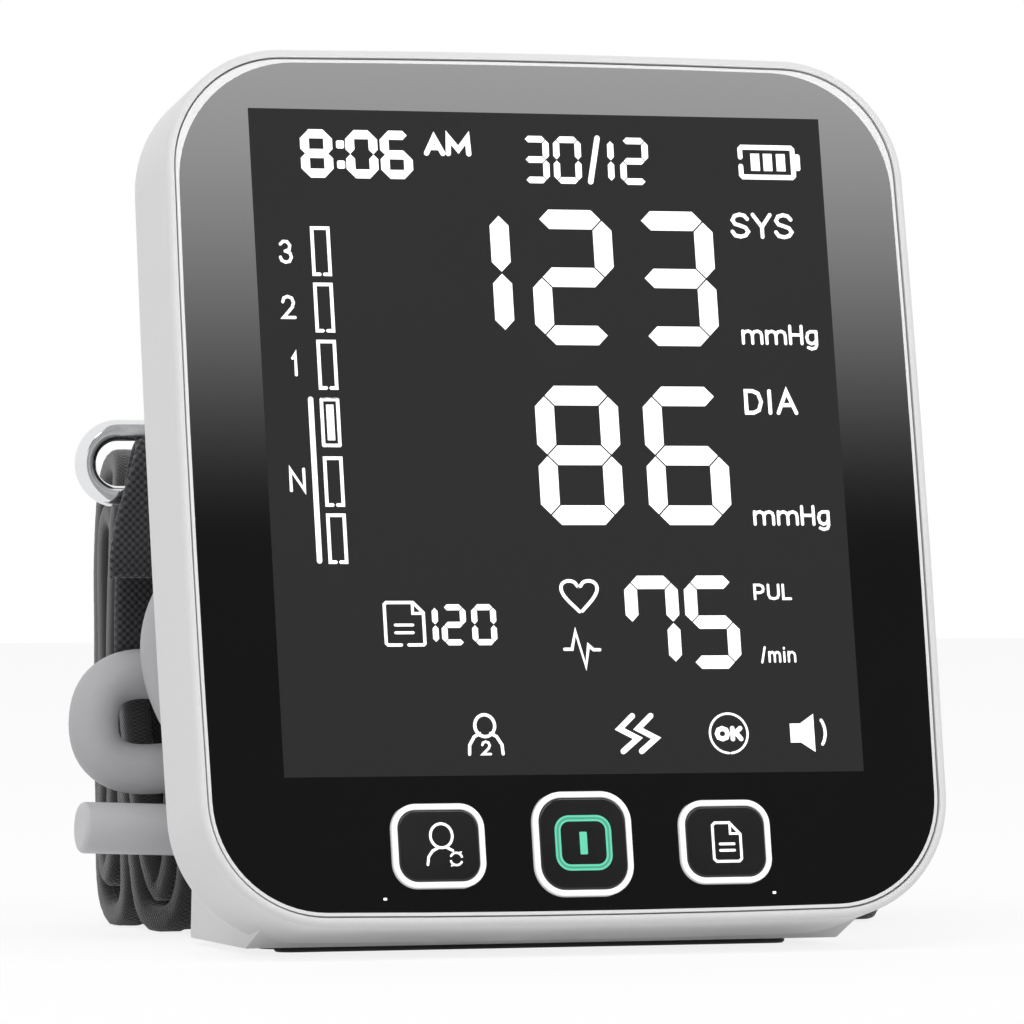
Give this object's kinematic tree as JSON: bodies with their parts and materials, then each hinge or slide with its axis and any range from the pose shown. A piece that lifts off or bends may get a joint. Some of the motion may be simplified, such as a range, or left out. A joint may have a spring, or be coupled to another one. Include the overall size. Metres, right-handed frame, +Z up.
{
  "type": "upper arm blood pressure monitor",
  "caption": "Leaning desk-top blood pressure monitor with a large display, touch keys, an air pump and a folded upper arm cuff with its hose behind it.",
  "frame": {"origin": "on the table, in the middle of the three rubber strips that the monitor stands on", "axes": "+Z up, -Y towards the user who reads the display, +X to the right along the display"},
  "size_m": [0.1415, 0.116, 0.1398],
  "materials": {
    "white_case": "satin gloss white moulding",
    "black_panel": "polished black acrylic",
    "smoked_window": "dark display window",
    "display_glass": "display glass",
    "light_guide": "milky light guide",
    "black_key": "polished black key",
    "white_rim": "white key border",
    "grey_frame": "moulded inner frame",
    "circuit_board": "green solder mask",
    "black_chip": "moulded chip body",
    "cell_label": "plain cell sleeve",
    "spring_steel": "nickelled spring steel",
    "pump_steel": "drawn motor can",
    "pump_head": "moulded pump head",
    "soft_rubber": "black rubber",
    "clear_tube": "milky silicone tube",
    "jack_plastic": "pale moulded socket",
    "cuff_cloth": "black woven nylon",
    "hook_tape": "hook tape",
    "bladder_film": "air bladder film",
    "bright_steel": "chromed wire",
    "grey_hose": "light grey rubber hose",
    "pale_plug": "pale moulded plug"
  },
  "bodies": {
    "monitor": {"front_case": "white_case", "rear_case": "white_case", "trim_ring": "white_case", "front_panel": "black_panel", "display_window": "smoked_window", "lcd_glass": "display_glass", "backlight": "light_guide", "lcd_frame": "grey_frame", "tact_switches": "grey_frame", "main_board": "circuit_board", "board_chips": "black_chip", "pressure_sensor": "black_chip", "batteries": "cell_label", "battery_contacts": "spring_steel", "pump_motor": "pump_steel", "air_pump": "pump_head", "pump_cushion": "soft_rubber", "air_manifold": "grey_frame", "pump_tube": "clear_tube", "valve_tube": "clear_tube", "jack_tube": "clear_tube", "sensor_tube": "clear_tube", "exhaust_valve": "black_chip", "air_jack": "jack_plastic", "speaker": "black_chip", "case_screws": "spring_steel", "rubber_feet": "soft_rubber"},
    "user_button_body": {"user_button": "black_key", "user_button_rim": "white_rim"},
    "start_button_body": {"start_button": "black_key", "start_button_rim": "white_rim"},
    "memory_button_body": {"memory_button": "black_key", "memory_button_rim": "white_rim"},
    "battery_door_body": {"battery_door": "white_case"},
    "cuff": {"cuff_band": "cuff_cloth", "bladder": "bladder_film", "hook_patch": "hook_tape", "ring_strap": "cuff_cloth", "hose_grommet": "grey_hose", "air_hose": "grey_hose", "air_plug": "pale_plug", "plug_seal": "soft_rubber"},
    "ring": {"d_ring": "bright_steel"}
  },
  "joints": [
    {"name": "user_button_press", "type": "slide", "parent": "monitor", "child": "user_button_body", "axis": [0, 0.9816, -0.1908], "range_m": [0, 0.0005], "stiffness_N_per_m": 800, "springref_m": -0.0005},
    {"name": "start_button_press", "type": "slide", "parent": "monitor", "child": "start_button_body", "axis": [0, 0.9816, -0.1908], "range_m": [0, 0.0005], "stiffness_N_per_m": 800, "springref_m": -0.0005},
    {"name": "memory_button_press", "type": "slide", "parent": "monitor", "child": "memory_button_body", "axis": [0, 0.9816, -0.1908], "range_m": [0, 0.0005], "stiffness_N_per_m": 800, "springref_m": -0.0005},
    {"name": "battery_door_slide", "type": "slide", "parent": "monitor", "child": "battery_door_body", "axis": [0, -0.0808, 0.9967], "range_m": [0, 0.012]},
    {"name": "cuff_lift", "type": "slide", "parent": "monitor", "child": "cuff", "axis": [0, 0, 1], "range_m": [0, 0.12]},
    {"name": "d_ring_swing", "type": "hinge", "parent": "cuff", "child": "ring", "pos_m": [0.005, 0.033, 0.0706], "axis": [1, 0, 0], "range_deg": [-50, 60]}
  ]
}
